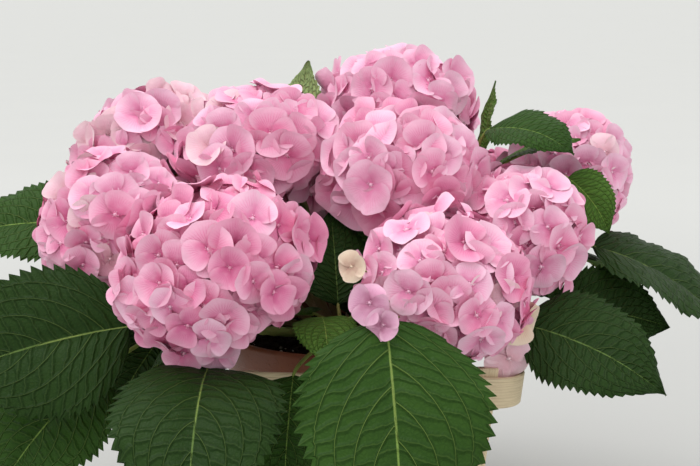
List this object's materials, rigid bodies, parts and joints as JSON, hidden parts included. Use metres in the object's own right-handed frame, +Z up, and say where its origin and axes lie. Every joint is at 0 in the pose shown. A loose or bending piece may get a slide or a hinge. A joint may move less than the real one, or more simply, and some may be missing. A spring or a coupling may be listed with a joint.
{
  "type": "potted hydrangea",
  "caption": "Potted mophead hydrangea with round pink flower heads over broad serrated leaves, in a terracotta-coloured pot inside a tapered pale wooden holder.",
  "frame": {"origin": "centre of the holder's flat underside, on the surface that it stands on", "axes": "+Z up, the front of the plant faces -Y, and +X is to the right seen from the front"},
  "size_m": [0.6446, 0.5026, 0.4118],
  "materials": {
    "flowers": "soft, matt, light pink petals with deeper rose centres and pale rims",
    "leaves": "dark green with yellow-green veins and a dull sheen",
    "stems": "green to light brown, matt",
    "pot": "matt terracotta brown",
    "soil": "rough, dark",
    "holder_wood": "bare pale wood, fine grain"
  },
  "bodies": {
    "root": {"holder_floor": "holder_wood", "holder_hoop_upper": "holder_wood", "holder_hoop_lower": "holder_wood", "holder_post_front_left": "holder_wood", "holder_post_front_right": "holder_wood", "holder_post_back_left": "holder_wood", "holder_post_back_right": "holder_wood", "pot": "pot", "potting_soil": "soil", "stem_front_left": "stems", "leaves_front_left": "leaves", "stem_far_left": "stems", "leaves_far_left": "leaves", "stem_upper_left": "stems", "leaves_upper_left": "leaves", "stem_upper_mid_left": "stems", "leaves_upper_mid_left": "leaves", "stem_top": "stems", "leaves_top": "leaves", "stem_centre": "stems", "leaves_centre": "leaves", "stem_front_right": "stems", "leaves_front_right": "leaves", "stem_right": "stems", "leaves_right": "leaves", "stem_far_right": "stems", "leaves_far_right": "leaves", "stem_back_left": "stems", "leaves_back_left": "leaves", "stem_back_centre": "stems", "leaves_back_centre": "leaves", "stem_back_right": "stems", "leaves_back_right": "leaves", "stem_front_middle": "stems", "leaves_front_middle": "leaves", "stem_crown_middle": "stems", "leaves_crown_middle": "leaves", "stem_right_middle": "stems", "leaves_right_middle": "leaves", "flower_front_left": "flowers", "flower_far_left": "flowers", "flower_upper_left": "flowers", "flower_upper_mid_left": "flowers", "flower_top": "flowers", "flower_centre": "flowers", "flower_front_right": "flowers", "flower_right": "flowers", "flower_far_right": "flowers", "flower_back_left": "flowers", "flower_back_centre": "flowers", "flower_back_right": "flowers"}
  },
  "joints": []
}
